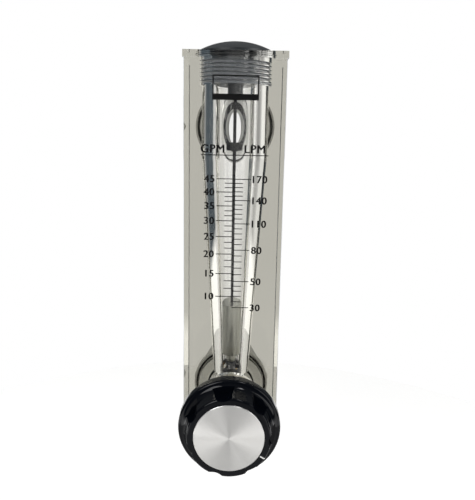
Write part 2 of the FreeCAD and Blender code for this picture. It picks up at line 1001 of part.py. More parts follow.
def check(pieces):
    """Stops before anything is written if any object failed to build."""
    for item in doc.Objects:
        if "Invalid" in item.State or "Error" in item.State:
            sys.exit("%s failed: %s" % (item.Label, item.State))
    for piece in pieces:
        if piece.Shape.isNull() or not piece.Shape.isValid():
            sys.exit("%s has no valid shape" % piece.Label)
        if len(piece.Shape.Solids) != 1:
            sys.exit("%s has %d solids" % (piece.Label, len(piece.Shape.Solids)))


pieces = make_everything()
doc.recompute()
check(pieces)
os.makedirs("parts", exist_ok=True)
for piece in pieces:
    piece.Shape.exportStep(os.path.join("parts", piece.Label + ".step"))
    print("%-20s %12.1f mm3" % (piece.Label, piece.Shape.Volume))
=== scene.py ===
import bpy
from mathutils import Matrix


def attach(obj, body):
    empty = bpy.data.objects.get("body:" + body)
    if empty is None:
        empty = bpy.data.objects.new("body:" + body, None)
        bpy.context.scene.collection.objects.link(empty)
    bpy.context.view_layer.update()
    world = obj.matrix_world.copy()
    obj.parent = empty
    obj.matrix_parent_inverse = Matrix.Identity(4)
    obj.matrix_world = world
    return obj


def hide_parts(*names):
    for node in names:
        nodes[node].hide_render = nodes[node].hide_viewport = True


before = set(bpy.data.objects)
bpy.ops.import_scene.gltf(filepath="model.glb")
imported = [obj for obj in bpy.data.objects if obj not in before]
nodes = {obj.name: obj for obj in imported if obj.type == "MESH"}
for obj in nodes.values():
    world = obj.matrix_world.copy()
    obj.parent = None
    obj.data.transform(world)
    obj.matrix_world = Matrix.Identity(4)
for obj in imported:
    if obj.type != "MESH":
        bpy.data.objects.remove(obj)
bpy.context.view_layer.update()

import math

import bmesh
import bpy
from mathutils import Matrix, Vector

scene = bpy.context.scene
mm = 0.001


# The view. The meter hangs free in front of a white wall and is looked at from the front, from a
# third of a metre off, from about four fifths of its height and tipped down at the knob.
eye = Vector((3.06, -400.0, 170.0)) * mm
tip_down = math.radians(11.17)
roll = math.radians(1.05)
focal_length = 40.36
film_width = 36.0
nearest_seen = 0.01
camera_data = bpy.data.cameras.new("view")
camera_data.lens = focal_length
camera_data.sensor_width = film_width
camera_data.clip_start = nearest_seen
camera = bpy.data.objects.new("view", camera_data)
scene.collection.objects.link(camera)
camera.matrix_world = (
    Matrix.Translation(eye)
    @ Matrix.Rotation(math.pi / 2 - tip_down, 4, "X")
    @ Matrix.Rotation(roll, 4, "Z")
)
scene.camera = camera
scene.view_settings.view_transform = "Standard"


# The room. Camera rays see white, and so does what is seen straight through the acrylic. Light that
# the bore's wall has turned aside comes from the room: a dark corner to the left, a bright wall and
# a window to the right, the pale bench below them. Metal and plastic mirror a plain soft studio.
def wired(tree, kind, inputs=(), **settings):
    """A new node of that kind; inputs are (socket, value or output) pairs."""
    node = tree.nodes.new(kind)
    for name, value in settings.items():
        setattr(node, name, value)
    for socket, value in inputs:
        if isinstance(value, bpy.types.NodeSocket):
            tree.links.new(value, node.inputs[socket])
        else:
            node.inputs[socket].default_value = value
    return node


def ramped(tree, value, span):
    """0 up to the span's start and 1 from its end on."""
    start, end = span
    return wired(
        tree, "ShaderNodeMapRange", [("Value", value), ("From Min", start), ("From Max", end)]
    ).outputs[0]


def mixed(tree, factor, first, second):
    """A colour between the first and the second."""
    return wired(
        tree, "ShaderNodeMix", [(0, factor), (6, first), (7, second)], data_type="RGBA"
    ).outputs[2]


def grey(level, blue=1.0):
    """A colour of that level, whose blue is the level times the second number."""
    return (level, level * (1 + blue) / 2, level * blue, 1)


white = grey(1.0)
room_light = 0.42
dark_corner = grey(0.10, 1.5)
dim_ceiling = grey(0.45, 1.15)
dark_ceiling = grey(0.12, 1.1)
right_wall = grey(1.12)
right_window = grey(1.35)
far_end = grey(0.45)
pale_bench = grey(1.75)
studio_front = grey(0.50)
studio_bench = grey(2.4)
studio_low = grey(0.06, 1.2)
studio_high = grey(0.26, 1.05)
# Where one part of the room goes over into the next, as shares of the ray's direction
corner_top = (0.10, 0.32)
corner_edge = (-0.75, -0.15)
window_sill = (-0.07, -0.01)
far_end_edge = (0.88, 1.0)
right_edge = (0.0, 0.35)
bench_top = (-0.34, -0.30)
ceiling_edge = (0.72, 0.82)
studio_sides = (0.05, 0.55)
studio_rise = (-0.2, 0.9)
studio_bench_top = (-0.32, -0.2)
once_mirrored = (0.4, 0.6)
world = bpy.data.worlds.new("room")
scene.world = world
world.use_nodes = True
room = world.node_tree
room.nodes.clear()
ray = wired(room, "ShaderNodeLightPath").outputs
where = wired(room, "ShaderNodeTexCoord")
way = wired(room, "ShaderNodeSeparateXYZ", [("Vector", where.outputs["Generated"])]).outputs
left_wall = mixed(room, ramped(room, way["Z"], corner_top), dark_corner, dim_ceiling)
left = mixed(room, ramped(room, way["X"], corner_edge), left_wall, white)
window = mixed(room, ramped(room, way["Z"], window_sill), right_wall, right_window)
right = mixed(room, ramped(room, way["X"], far_end_edge), window, far_end)
sides = mixed(room, ramped(room, way["X"], right_edge), left, right)
turned_aside = mixed(room, ramped(room, way["Z"], bench_top), pale_bench, sides)
roofed = mixed(room, ramped(room, way["Z"], ceiling_edge), turned_aside, dark_ceiling)
through = mixed(room, ramped(room, ray["Glossy Depth"], once_mirrored), white, roofed)
outward = wired(room, "ShaderNodeMath", [(0, way["X"])], operation="ABSOLUTE").outputs[0]
bench = mixed(room, ramped(room, outward, studio_sides), studio_front, studio_bench)
studio = mixed(room, ramped(room, way["Z"], studio_rise), studio_low, studio_high)
mirrored = mixed(room, ramped(room, way["Z"], studio_bench_top), bench, studio)
plain = mixed(room, ray["Is Glossy Ray"], grey(room_light), mirrored)
glazed = mixed(room, ray["Is Transmission Ray"], plain, through)
seen = mixed(room, ray["Is Camera Ray"], glazed, white)
air = wired(room, "ShaderNodeBackground", [("Color", seen)])
wired(room, "ShaderNodeOutputWorld", [("Surface", air.outputs[0])])


def soft_lamp(name, place, aim, width, height, watts):
    """A rectangular soft box, aimed at a point; the numbers are metres."""
    data = bpy.data.lights.new(name, "AREA")
    data.shape = "RECTANGLE"
    data.size = width
    data.size_y = height
    data.energy = watts
    lamp = bpy.data.objects.new(name, data)
    scene.collection.objects.link(lamp)
    lamp.location = place
    lamp.rotation_euler = (Vector(aim) - Vector(place)).to_track_quat("-Z", "Y").to_euler()


middle = (0, -0.03, 0.09)
soft_lamp("key_soft_box", (-0.55, -0.85, 0.75), middle, 0.6, 0.6, 6.0)
soft_lamp("fill_soft_box", (0.8, -0.6, 0.25), middle, 0.5, 0.8, 3.0)
soft_lamp("window", (0.30, -0.42, 0.80), (0, -0.09, 0.0), 0.14, 0.14, 1.0)


# The floor. A pale painted disc well below the meter, lifted to white where the camera sees it by
# a little light of its own, so that the meter's soft shadow still falls on it.
floor_height = -0.2
floor_radius = 0.5
floor_sides = 96
floor_paint = (0.86, 0.86, 0.85, 1)
floor_glow = 0.47
floor_mesh = bpy.data.meshes.new("floor")
floor_shape = bmesh.new()
bmesh.ops.create_circle(floor_shape, cap_ends=True, radius=floor_radius, segments=floor_sides)
bmesh.ops.translate(floor_shape, verts=floor_shape.verts, vec=(0, 0, floor_height))
floor_shape.to_mesh(floor_mesh)
floor_shape.free()
floor = bpy.data.objects.new("floor", floor_mesh)
scene.collection.objects.link(floor)
paint = bpy.data.materials.new("pale_floor")
paint.use_nodes = True
tree = paint.node_tree
tree.nodes.clear()
matt = wired(tree, "ShaderNodeBsdfDiffuse", [("Color", floor_paint)])
glow = wired(tree, "ShaderNodeEmission", [("Color", white), ("Strength", floor_glow)])
lifted = wired(tree, "ShaderNodeAddShader", [(0, matt.outputs[0]), (1, glow.outputs[0])])
ray = wired(tree, "ShaderNodeLightPath").outputs
looked_at = wired(
    tree,
    "ShaderNodeMath",
    [(0, ray["Is Camera Ray"]), (1, ray["Is Transmission Ray"])],
    operation="MAXIMUM",
)
both = wired(
    tree,
    "ShaderNodeMixShader",
    [(0, looked_at.outputs[0]), (1, matt.outputs[0]), (2, lifted.outputs[0])],
)
wired(tree, "ShaderNodeOutputMaterial", [("Surface", both.outputs[0])])
floor_mesh.materials.append(paint)


# The block. A square bar of cast acrylic, sawn, polished on its faces and bored through for the
# tapered tube, with the plug's thread tapped in its head and the bonnet's thread in its front. The
# plug's thread is cut here as a real helix, since it shows through the block.
front = -64.0
bore_axis = -34.0
plug_thread_top = 217.8
plug_thread_foot = 201.8
plug_thread_major = 22.0
plug_thread_minor = 20.5
plug_thread_pitch = 2.309
thread_crest = 0.35
thread_mouth = 1.9
thread_steps = 72
tapping_start = 0.45
tapping_left = 0.9
buried = 0.2
acrylic_bending = 1.49
# The acrylic's grey-beige darkening through its depth is painted shade, standing in for the dimmer
# room seen through the block.
through_shade_colour = (0.40, 0.38, 0.28, 1)
through_shade_density = 20.0
tapped_colour = (0.84, 0.88, 0.94, 1)
tapped_roughness = 0.35
tapped_clearness = 0.65
broken_edges_from = 29.6


def merged_copy(node, name):
    """A new mesh of a CAD node's surface with its loose triangles joined."""
    mesh = nodes[node].data.copy()
    mesh.name = name
    shape = bmesh.new()
    shape.from_mesh(mesh)
    bmesh.ops.remove_doubles(shape, verts=shape.verts, dist=0.002 * mm)
    bmesh.ops.dissolve_limit(
        shape, angle_limit=math.radians(0.5), verts=shape.verts, edges=shape.edges
    )
    bmesh.ops.triangulate(shape, faces=[face for face in shape.faces if len(face.verts) > 4])
    shape.to_mesh(mesh)
    shape.free()
    imported_normals = mesh.attributes.get("custom_normal")
    if imported_normals:
        mesh.attributes.remove(imported_normals)
    mesh.materials.clear()
    return mesh


def placed(mesh):
    """An object at the origin that holds the mesh."""
    thing = bpy.data.objects.new(mesh.name, mesh)
    scene.collection.objects.link(thing)
    return thing


def baked(thing):
    """Turns the object and its modifiers into a plain mesh."""
    bpy.context.view_layer.update()
    seen_by = bpy.context.evaluated_depsgraph_get()
    mesh = bpy.data.meshes.new_from_object(thing.evaluated_get(seen_by))
    thing.modifiers.clear()
    thing.data = mesh


def shaded(thing, angle=30.0):
    """Smooths the shading, but keeps the edges that are sharper than the angle."""
    mesh = thing.data
    mesh.polygons.foreach_set("use_smooth", [True] * len(mesh.polygons))
    mesh.set_sharp_from_angle(angle=math.radians(angle))


def group_socket(tree, name, kind, value):
    """A named input of the tree with its usual value."""
    socket = tree.interface.new_socket(name=name, in_out="INPUT", socket_type=kind)
    socket.default_value = value


def set_inputs(thing, tree, **values):
    """Adds the tree to the object as a modifier and sets its inputs by their identifiers."""
    maker = thing.modifiers.new(tree.name, "NODES")
    maker.node_group = tree
    for socket in tree.interface.items_tree:
        if socket.item_type == "SOCKET" and socket.in_out == "INPUT" and socket.name in values:
            maker[socket.identifier] = values[socket.name]


def thread_tree():
    """A ridge of trapezoid section that climbs in a helix about the Z axis from the origin."""
    tree = bpy.data.node_groups.new("thread_ridge", "GeometryNodeTree")
    tree.interface.new_socket(name="Geometry", in_out="INPUT", socket_type="NodeSocketGeometry")
    tree.interface.new_socket(name="Geometry", in_out="OUTPUT", socket_type="NodeSocketGeometry")
    group_socket(tree, "radius", "NodeSocketFloat", 0.02)
    group_socket(tree, "pitch", "NodeSocketFloat", 0.002)
    group_socket(tree, "turns", "NodeSocketFloat", 6.0)
    group_socket(tree, "steps", "NodeSocketInt", 64)
    group_socket(tree, "depth", "NodeSocketFloat", 0.001)
    group_socket(tree, "inner_width", "NodeSocketFloat", 0.001)
    group_socket(tree, "outer_width", "NodeSocketFloat", 0.001)
    group_socket(tree, "finish", "NodeSocketMaterial", None)
    given = tree.nodes.new("NodeGroupInput").outputs
    rise = wired(
        tree, "ShaderNodeMath", [(0, given["pitch"]), (1, given["turns"])], operation="MULTIPLY"
    )
    helix = wired(
        tree,
        "GeometryNodeCurveSpiral",
        [
            ("Resolution", given["steps"]),
            ("Rotations", given["turns"]),
            ("Start Radius", given["radius"]),
            ("End Radius", given["radius"]),
            ("Height", rise.outputs[0]),
        ],
    )
    upright = wired(
        tree, "GeometryNodeSetCurveNormal", [("Curve", helix.outputs[0])], mode="Z_UP"
    )
    section = wired(
        tree,
        "GeometryNodeCurvePrimitiveQuadrilateral",
        [
            ("Height", given["depth"]),
            ("Bottom Width", given["inner_width"]),
            ("Top Width", given["outer_width"]),
            ("Offset", 0.0),
        ],
        mode="TRAPEZOID",
    )
    turned = wired(
        tree,
        "GeometryNodeTransform",
        [("Geometry", section.outputs[0]), ("Rotation", (0, 0, math.pi / 2))],
    )
    swept = wired(
        tree,
        "GeometryNodeCurveToMesh",
        [("Curve", upright.outputs[0]), ("Profile Curve", turned.outputs[0]), ("Fill Caps", True)],
    )
    real = wired(tree, "GeometryNodeRealizeInstances", [("Geometry", swept.outputs[0])])
    dressed = wired(
        tree,
        "GeometryNodeSetMaterial",
        [("Geometry", real.outputs[0]), ("Material", given["finish"])],
    )
    out = tree.nodes.new("NodeGroupOutput")
    tree.links.new(dressed.outputs[0], out.inputs[0])
    return tree


thread_ridge = thread_tree()


def thread_cutter(name, finish, inner_radius, outer_radius, pitch, turns, place, turn=None):
    """A plain mesh of one helical ridge, narrow at its inner radius, moved to its place."""
    thing = placed(bpy.data.meshes.new(name))
    set_inputs(
        thing,
        thread_ridge,
        radius=(inner_radius + outer_radius) / 2 * mm,
        pitch=pitch * mm,
        turns=turns,
        steps=thread_steps,
        depth=(outer_radius - inner_radius) * mm,
        inner_width=thread_crest * mm,
        outer_width=thread_mouth * mm,
        finish=finish,
    )
    baked(thing)
    shape = bmesh.new()
    shape.from_mesh(thing.data)
    bmesh.ops.remove_doubles(shape, verts=shape.verts, dist=0.0005 * mm)
    bmesh.ops.recalc_face_normals(shape, faces=shape.faces)
    shape.to_mesh(thing.data)
    shape.free()
    thing.data.transform(Matrix.Translation(Vector(place) * mm) @ (turn or Matrix.Identity(4)))
    return thing


def joined(thing, other, how):
    """Adds the other object to the thing or cuts it away, and deletes the other."""
    cut = thing.modifiers.new(how, "BOOLEAN")
    cut.operation = how
    cut.solver = "EXACT"
    cut.material_mode = "TRANSFER"
    cut.object = other
    baked(thing)
    bpy.data.objects.remove(other)


def principled(name, **values):
    """A material with one Principled shader, whose uniform values are set on its own sockets."""
    material = bpy.data.materials.new(name)
    material.use_nodes = True
    tree = material.node_tree
    shader = tree.nodes["Principled BSDF"]
    for socket, value in values.items():
        shader.inputs[socket.replace("_", " ")].default_value = value
    return material, tree, shader


def bump_from(tree, shader, height, strength, distance):
    """Feeds a height to the shader's normal."""
    relief = wired(
        tree, "ShaderNodeBump", [("Height", height), ("Strength", strength), ("Distance", distance)]
    )
    tree.links.new(relief.outputs[0], shader.inputs["Normal"])


acrylic, tree, shader = principled(
    "clear_cast_acrylic",
    Base_Color=(1, 1, 1, 1),
    Roughness=0.0,
    IOR=acrylic_bending,
    Transmission_Weight=1.0,
)
# Painted shade: the clear acrylic absorbs light through its depth to look grey-beige, in place of the
# dimmer room seen through it.
painted_through_shade = wired(
    tree, "ShaderNodeVolumeAbsorption", [("Color", through_shade_colour), ("Density", through_shade_density)]
)
tree.links.new(painted_through_shade.outputs[0], tree.nodes["Material Output"].inputs["Volume"])
spot = wired(tree, "ShaderNodeTexCoord")
waves = wired(
    tree,
    "ShaderNodeTexNoise",
    [("Vector", spot.outputs["Object"]), ("Scale", 28.0), ("Detail", 2.0), ("Roughness", 0.5)],
)
bump_from(tree, shader, waves.outputs[0], 0.05, 0.0004)

# Where the acrylic was cut and not polished, as in the tapped thread, it is dull and half clear.
tapped, tree, shader = principled(
    "tapped_acrylic",
    Base_Color=tapped_colour,
    Roughness=tapped_roughness,
    IOR=acrylic_bending,
    Transmission_Weight=tapped_clearness,
)
spot = wired(tree, "ShaderNodeTexCoord")
cuts = wired(
    tree,
    "ShaderNodeTexNoise",
    [("Vector", spot.outputs["Object"]), ("Scale", 900.0), ("Detail", 2.0)],
)
bump_from(tree, shader, cuts.outputs[0], 0.2, 0.0001)

# The reamed taper runs up nearly to the chamber's width, so the tube is opened out here towards its
# top: each ring is its height, its radius in the frame and its reamed radius. Rings are added by
# each change of slope, so that the light turns only there.
tube_rings = [(17.0, 11.4, 11.4), (152.0, 17.8, 20.1), (158.0, 20.5, 20.5)]
near_the_bore = 0.12
added_rings = (18.2, 151.4, 158.6, plug_thread_foot - 0.8)
block = placed(merged_copy("acrylic_body", "acrylic_block"))
for vertex in block.data.vertices:
    height = vertex.co.z / mm
    across = vertex.co.x
    back = vertex.co.y - bore_axis * mm
    reach = math.hypot(across, back) / mm
    for (foot, foot_bore, foot_reamed), (top, top_bore, top_reamed) in zip(tube_rings, tube_rings[1:]):
        share = (height - foot) / (top - foot)
        bore = foot_bore + (top_bore - foot_bore) * share
        if 0.0 < share <= 1.0 and abs(reach - bore) < near_the_bore:
            wider = (foot_reamed + (top_reamed - foot_reamed) * share) / bore
            vertex.co.x = across * wider
            vertex.co.y = bore_axis * mm + back * wider
            break
shape = bmesh.new()
shape.from_mesh(block.data)
for height in added_rings:
    bmesh.ops.bisect_plane(
        shape,
        geom=shape.verts[:] + shape.edges[:] + shape.faces[:],
        plane_co=(0, 0, height * mm),
        plane_no=(0, 0, 1),
        dist=0.00001 * mm,
    )
bmesh.ops.triangulate(shape, faces=[face for face in shape.faces if len(face.verts) > 4])
shape.to_mesh(block.data)
shape.free()
block.data.materials.append(acrylic)
block.data.materials.append(tapped)

# The block's upright edges are broken with a scraper and stay as cut.
for face in block.data.polygons:
    sloped = abs(face.normal.x) > 0.5 and abs(face.normal.y) > 0.5
    if sloped and abs(face.center.x) > broken_edges_from * mm:
        face.material_index = 1
tapped_turns = (plug_thread_top - plug_thread_foot) / plug_thread_pitch - tapping_left
joined(
    block,
    thread_cutter(
        "plug_tapping",
        tapped,
        plug_thread_minor,
        plug_thread_major + buried,
        plug_thread_pitch,
        tapped_turns,
        (0, bore_axis, plug_thread_foot + tapping_start * plug_thread_pitch),
    ),
    "UNION",
)
shaded(block, 24.0)

# Clear acrylic throws hardly any shadow, and the lamps reach what it holds.
block.visible_shadow = False
block.visible_diffuse = False
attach(block, "meter")
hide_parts("acrylic_body")


def moulded_plastic(name, colour, roughness, grain=900.0, relief=0.12, shine=0.5):
    """Injection moulded plastic: one colour, a faint grain and a slightly uneven gloss."""
    material, tree, shader = principled(
        name, Base_Color=(*colour, 1), Roughness=roughness, Specular_IOR_Level=shine
    )
    spot = wired(tree, "ShaderNodeTexCoord")
    grains = wired(
        tree,
        "ShaderNodeTexNoise",
        [("Vector", spot.outputs["Object"]), ("Scale", grain), ("Detail", 3.0)],
    )
    cloud = wired(
        tree,
        "ShaderNodeTexNoise",
        [("Vector", spot.outputs["Object"]), ("Scale", grain / 12), ("Detail", 2.0)],
    )
    gloss = wired(
        tree,
        "ShaderNodeMapRange",
        [
            ("Value", cloud.outputs[0]),
            ("From Min", 0.3),
            ("From Max", 0.7),
            ("To Min", roughness * 0.8),
            ("To Max", roughness * 1.25),
        ],
    )
    tree.links.new(gloss.outputs[0], shader.inputs["Roughness"])
    bump_from(tree, shader, grains.outputs[0], relief, 0.0002)
    return material


def turned_metal(name, colour, roughness, axis, centre, pitch, relief=0.25):
    """Metal turned on a lathe: fine grooves about or along the given axis ('Z' or 'Y')."""
    material, tree, shader = principled(
        name, Base_Color=(*colour, 1), Metallic=1.0, Roughness=roughness
    )
    spot = wired(tree, "ShaderNodeTexCoord")
    moved = wired(
        tree,
        "ShaderNodeMapping",
        [("Vector", spot.outputs["Object"]), ("Location", tuple(-c * mm for c in centre))],
    )
    parts = wired(tree, "ShaderNodeSeparateXYZ", [("Vector", moved.outputs[0])])
    along = parts.outputs[axis]
    across = [parts.outputs[letter] for letter in "XYZ" if letter != axis]
    spokes = wired(tree, "ShaderNodeCombineXYZ", [(0, across[0]), (1, across[1])])
    reach = wired(tree, "ShaderNodeVectorMath", [(0, spokes.outputs[0])], operation="LENGTH")
    both = wired(tree, "ShaderNodeMath", [(0, along), (1, reach.outputs["Value"])], operation="ADD")
    groove = wired(
        tree,
        "ShaderNodeMath",
        [(0, both.outputs[0]), (1, 2 * math.pi / (pitch * mm))],
        operation="MULTIPLY",
    )
    wave = wired(tree, "ShaderNodeMath", [(0, groove.outputs[0])], operation="SINE")
    scratches = wired(
        tree,
        "ShaderNodeTexNoise",
        [("Vector", spot.outputs["Object"]), ("Scale", 700.0), ("Detail", 2.0)],
    )
    height = wired(
        tree, "ShaderNodeMath", [(0, wave.outputs[0]), (1, scratches.outputs[0])], operation="ADD"
    )
    bump_from(tree, shader, height.outputs[0], relief, 0.00004)
    return material


def finished(node, name, body, material, angle=30.0):
    """A smooth shaded, merged copy of a CAD node that stands for it and wears the material."""
    thing = placed(merged_copy(node, name))
    thing.data.materials.append(material)
    shaded(thing, angle)
    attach(thing, body)
    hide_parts(node)
    return thing


# The head plug. Moulded from black plastic with a low dome, a rim and a hexagon socket, it screws
# into the tapped head and squeezes an O-ring in the recess below its rim.
plug_plastic = moulded_plastic("plug_black_plastic", (0.02, 0.023, 0.026), 0.3)
plug = placed(merged_copy("top_plug", "head_plug"))
plug.data.materials.append(plug_plastic)
plug_shank = plug_thread_major - 0.15
plug_groove_depth = 1.4
plug_groove_start = 200.6
plug_groove_foot = 200.9
plug_groove_left = 0.2
groove_turns = (plug_thread_top - plug_groove_foot) / plug_thread_pitch - plug_groove_left
joined(
    plug,
    thread_cutter(
        "plug_thread_groove",
        plug_plastic,
        plug_shank - plug_groove_depth,
        plug_shank + buried / 2,
        plug_thread_pitch,
        groove_turns,
        (0, bore_axis, plug_groove_start),
    ),
    "DIFFERENCE",
)
shaded(plug, 32.0)
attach(plug, "meter")
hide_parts("top_plug")

black_rubber = moulded_plastic("moulded_rubber", (0.006, 0.006, 0.0065), 0.55, 1400.0, 0.2, 0.2)
finished("top_plug_o_ring", "plug_ring", "meter", black_rubber)


# The guide rod, float and stops. A drawn, darkened rod hangs from the plug and stands in a spoked
# holder; a turned stainless float slides on it below a rubber stop.
rod_steel = turned_metal("darkened_rod", (0.012, 0.012, 0.014), 0.4, "Z", (0, bore_axis, 0), 0.5)
finished("guide_rod", "rod", "meter", rod_steel)
float_steel = turned_metal(
    "turned_float_steel", (0.32, 0.32, 0.285), 0.34, "Z", (0, bore_axis, 0), 0.35
)
finished("float", "turned_float", "float", float_steel)
finished("upper_float_stop", "rubber_stop", "meter", black_rubber)
holder_plastic = moulded_plastic("holder_black_plastic", (0.03, 0.031, 0.034), 0.3)
finished("lower_rod_holder", "rod_holder", "meter", holder_plastic)


# The valve's bonnet. A nickel plated brass barrel screws into the block's front behind an O-ring,
# and a hexagonal gland nut squeezes the packing round the stem.
nickel = turned_metal("nickel_plate", (0.60, 0.57, 0.51), 0.22, "Y", (0, 0, 0), 0.4)
finished("valve_bonnet", "bonnet", "meter", nickel)
finished("bonnet_o_ring", "bonnet_ring", "meter", black_rubber)
finished("gland_nut", "gland", "meter", nickel)
finished("stem_packing", "packing", "meter", black_rubber)


# The valve disc. A brass holder swivels on the end of the stem and carries a rubber face, held by
# a slotted screw.
brass = turned_metal("turned_brass", (0.72, 0.52, 0.24), 0.3, "Y", (0, 0, 0), 0.3)
finished("valve_disc_holder", "disc_holder", "disc", brass)
finished("valve_disc", "rubber_disc", "disc", black_rubber)
bright_steel = turned_metal("bright_steel", (0.62, 0.61, 0.59), 0.25, "Y", (0, 0, 0), 0.3)
finished("valve_disc_screw", "disc_screw", "disc", bright_steel)
finished("valve_stem", "stem", "knob", bright_steel)


# The knob. Glossy black phenolic, moulded round a brass insert, with seven flutes and a skirt; a
# set screw grips the stem. A thin spun aluminium disc is glued into its face.
phenolic = moulded_plastic("glossy_phenolic", (0.0012, 0.0018, 0.0035), 0.07, 600.0, 0.02, 0.2)
finished("knob_body", "knob_grip", "knob", phenolic, 26.0)
finished("knob_insert", "brass_insert", "knob", brass)
finished("knob_set_screw", "set_screw", "knob", rod_steel)

spun, tree, shader = principled(
    "spun_aluminium", Base_Color=(0.80, 0.79, 0.77, 1), Metallic=1.0, Roughness=0.3, Anisotropic=0.9
)
spun_grooves = 9000.0
spot = wired(tree, "ShaderNodeTexCoord")
flat_spot = wired(
    tree, "ShaderNodeVectorMath", [(0, spot.outputs["Object"]), (1, (1, 0, 1))], operation="MULTIPLY"
)
across_grain = wired(
    tree,
    "ShaderNodeVectorTransform",
    [("Vector", flat_spot.outputs[0])],
    vector_type="VECTOR",
    convert_from="OBJECT",
    convert_to="WORLD",
)
tree.links.new(across_grain.outputs[0], shader.inputs["Tangent"])
reach = wired(tree, "ShaderNodeVectorMath", [(0, flat_spot.outputs[0])], operation="LENGTH")
outwards = wired(
    tree, "ShaderNodeMath", [(0, reach.outputs["Value"]), (1, spun_grooves)], operation="MULTIPLY"
)
rings = wired(
    tree,
    "ShaderNodeTexNoise",
    [("W", outwards.outputs[0]), ("Detail", 2.0)],
    noise_dimensions="1D",
)
bump_from(tree, shader, rings.outputs[0], 0.10, 0.00005)
finished("knob_face_disc", "face_disc", "knob", spun)


# The rear connectors. Moulded pale plastic, they screw into the block against a gasket and an
# O-ring, and hexagonal lock nuts clamp the panel to their collars.
port_plastic = moulded_plastic("pale_port_plastic", (0.82, 0.82, 0.79), 0.35)
nut_plastic = moulded_plastic("pale_nut_plastic", (0.76, 0.76, 0.73), 0.4)
pipe_thread_major = 16.6
pipe_thread_minor = 15.4
pipe_thread_pitch = 2.309
pipe_thread_start = 14.9
pipe_thread_turns = 6.9
inlet_height = 0.0
outlet_height = 178.0
along_the_pipe = Matrix.Rotation(-math.pi / 2, 4, "X")
for port, height in (("inlet", inlet_height), ("outlet", outlet_height)):
    union = finished(port + "_connector", port + "_union", "meter", port_plastic)
    joined(
        union,
        thread_cutter(
            port + "_pipe_groove",
            port_plastic,
            pipe_thread_minor,
            pipe_thread_major + buried,
            pipe_thread_pitch,
            pipe_thread_turns,
            (0, pipe_thread_start, height),
            along_the_pipe,
        ),
        "DIFFERENCE",
    )
    shaded(union)
    finished(port + "_gasket", port + "_washer", "meter", black_rubber)
    finished(port + "_o_ring", port + "_ring", "meter", black_rubber)
    finished(port + "_lock_nut", port + "_nut", "meter", nut_plastic)


# The print. Black ink screened on the block's front: a scale in gallons on the left and in litres
# on the right, whose marks rise with the square root of the flow, and a bare frame and band above.
ink_lift = 0.03
ink_front = front - ink_lift
scale_foot = 9.43
scale_gain = 20.47
litre = 1 / 3.785
line_width = 0.5
long_mark = 10.3
short_gallon_mark = 5.2
short_litre_mark = 5.6
number_size = 4.4
gallons_end = -11.6
litres_start = 11.5
unit_size = 4.9
unit_height = 164.4
unit_line = 160.7
unit_left = -19.6
unit_right = 20.3
litre_unit_start = 6.3
frame_left = -13.2
frame_right = 13.9
frame_foot = 192.3
band_top = 195.8
frame_top = 206.3
frame_line = 0.75
capital_share = 0.729
letter_spacing = 1.12
bold_shifts = ((-0.22, -0.07), (-0.08, 0.07), (0.08, -0.07), (0.22, 0.07))
bold_step = 0.004
ink, tree, shader = principled(
    "screen_ink", Base_Color=(0.003, 0.003, 0.003, 1), Roughness=0.6, Specular_IOR_Level=0.12
)
spot = wired(tree, "ShaderNodeTexCoord")
specks = wired(
    tree,
    "ShaderNodeTexNoise",
    [("Vector", spot.outputs["Object"]), ("Scale", 2500.0), ("Detail", 2.0)],
)
bump_from(tree, shader, specks.outputs[0], 0.15, 0.00005)
ink_shape = bmesh.new()
prints = []


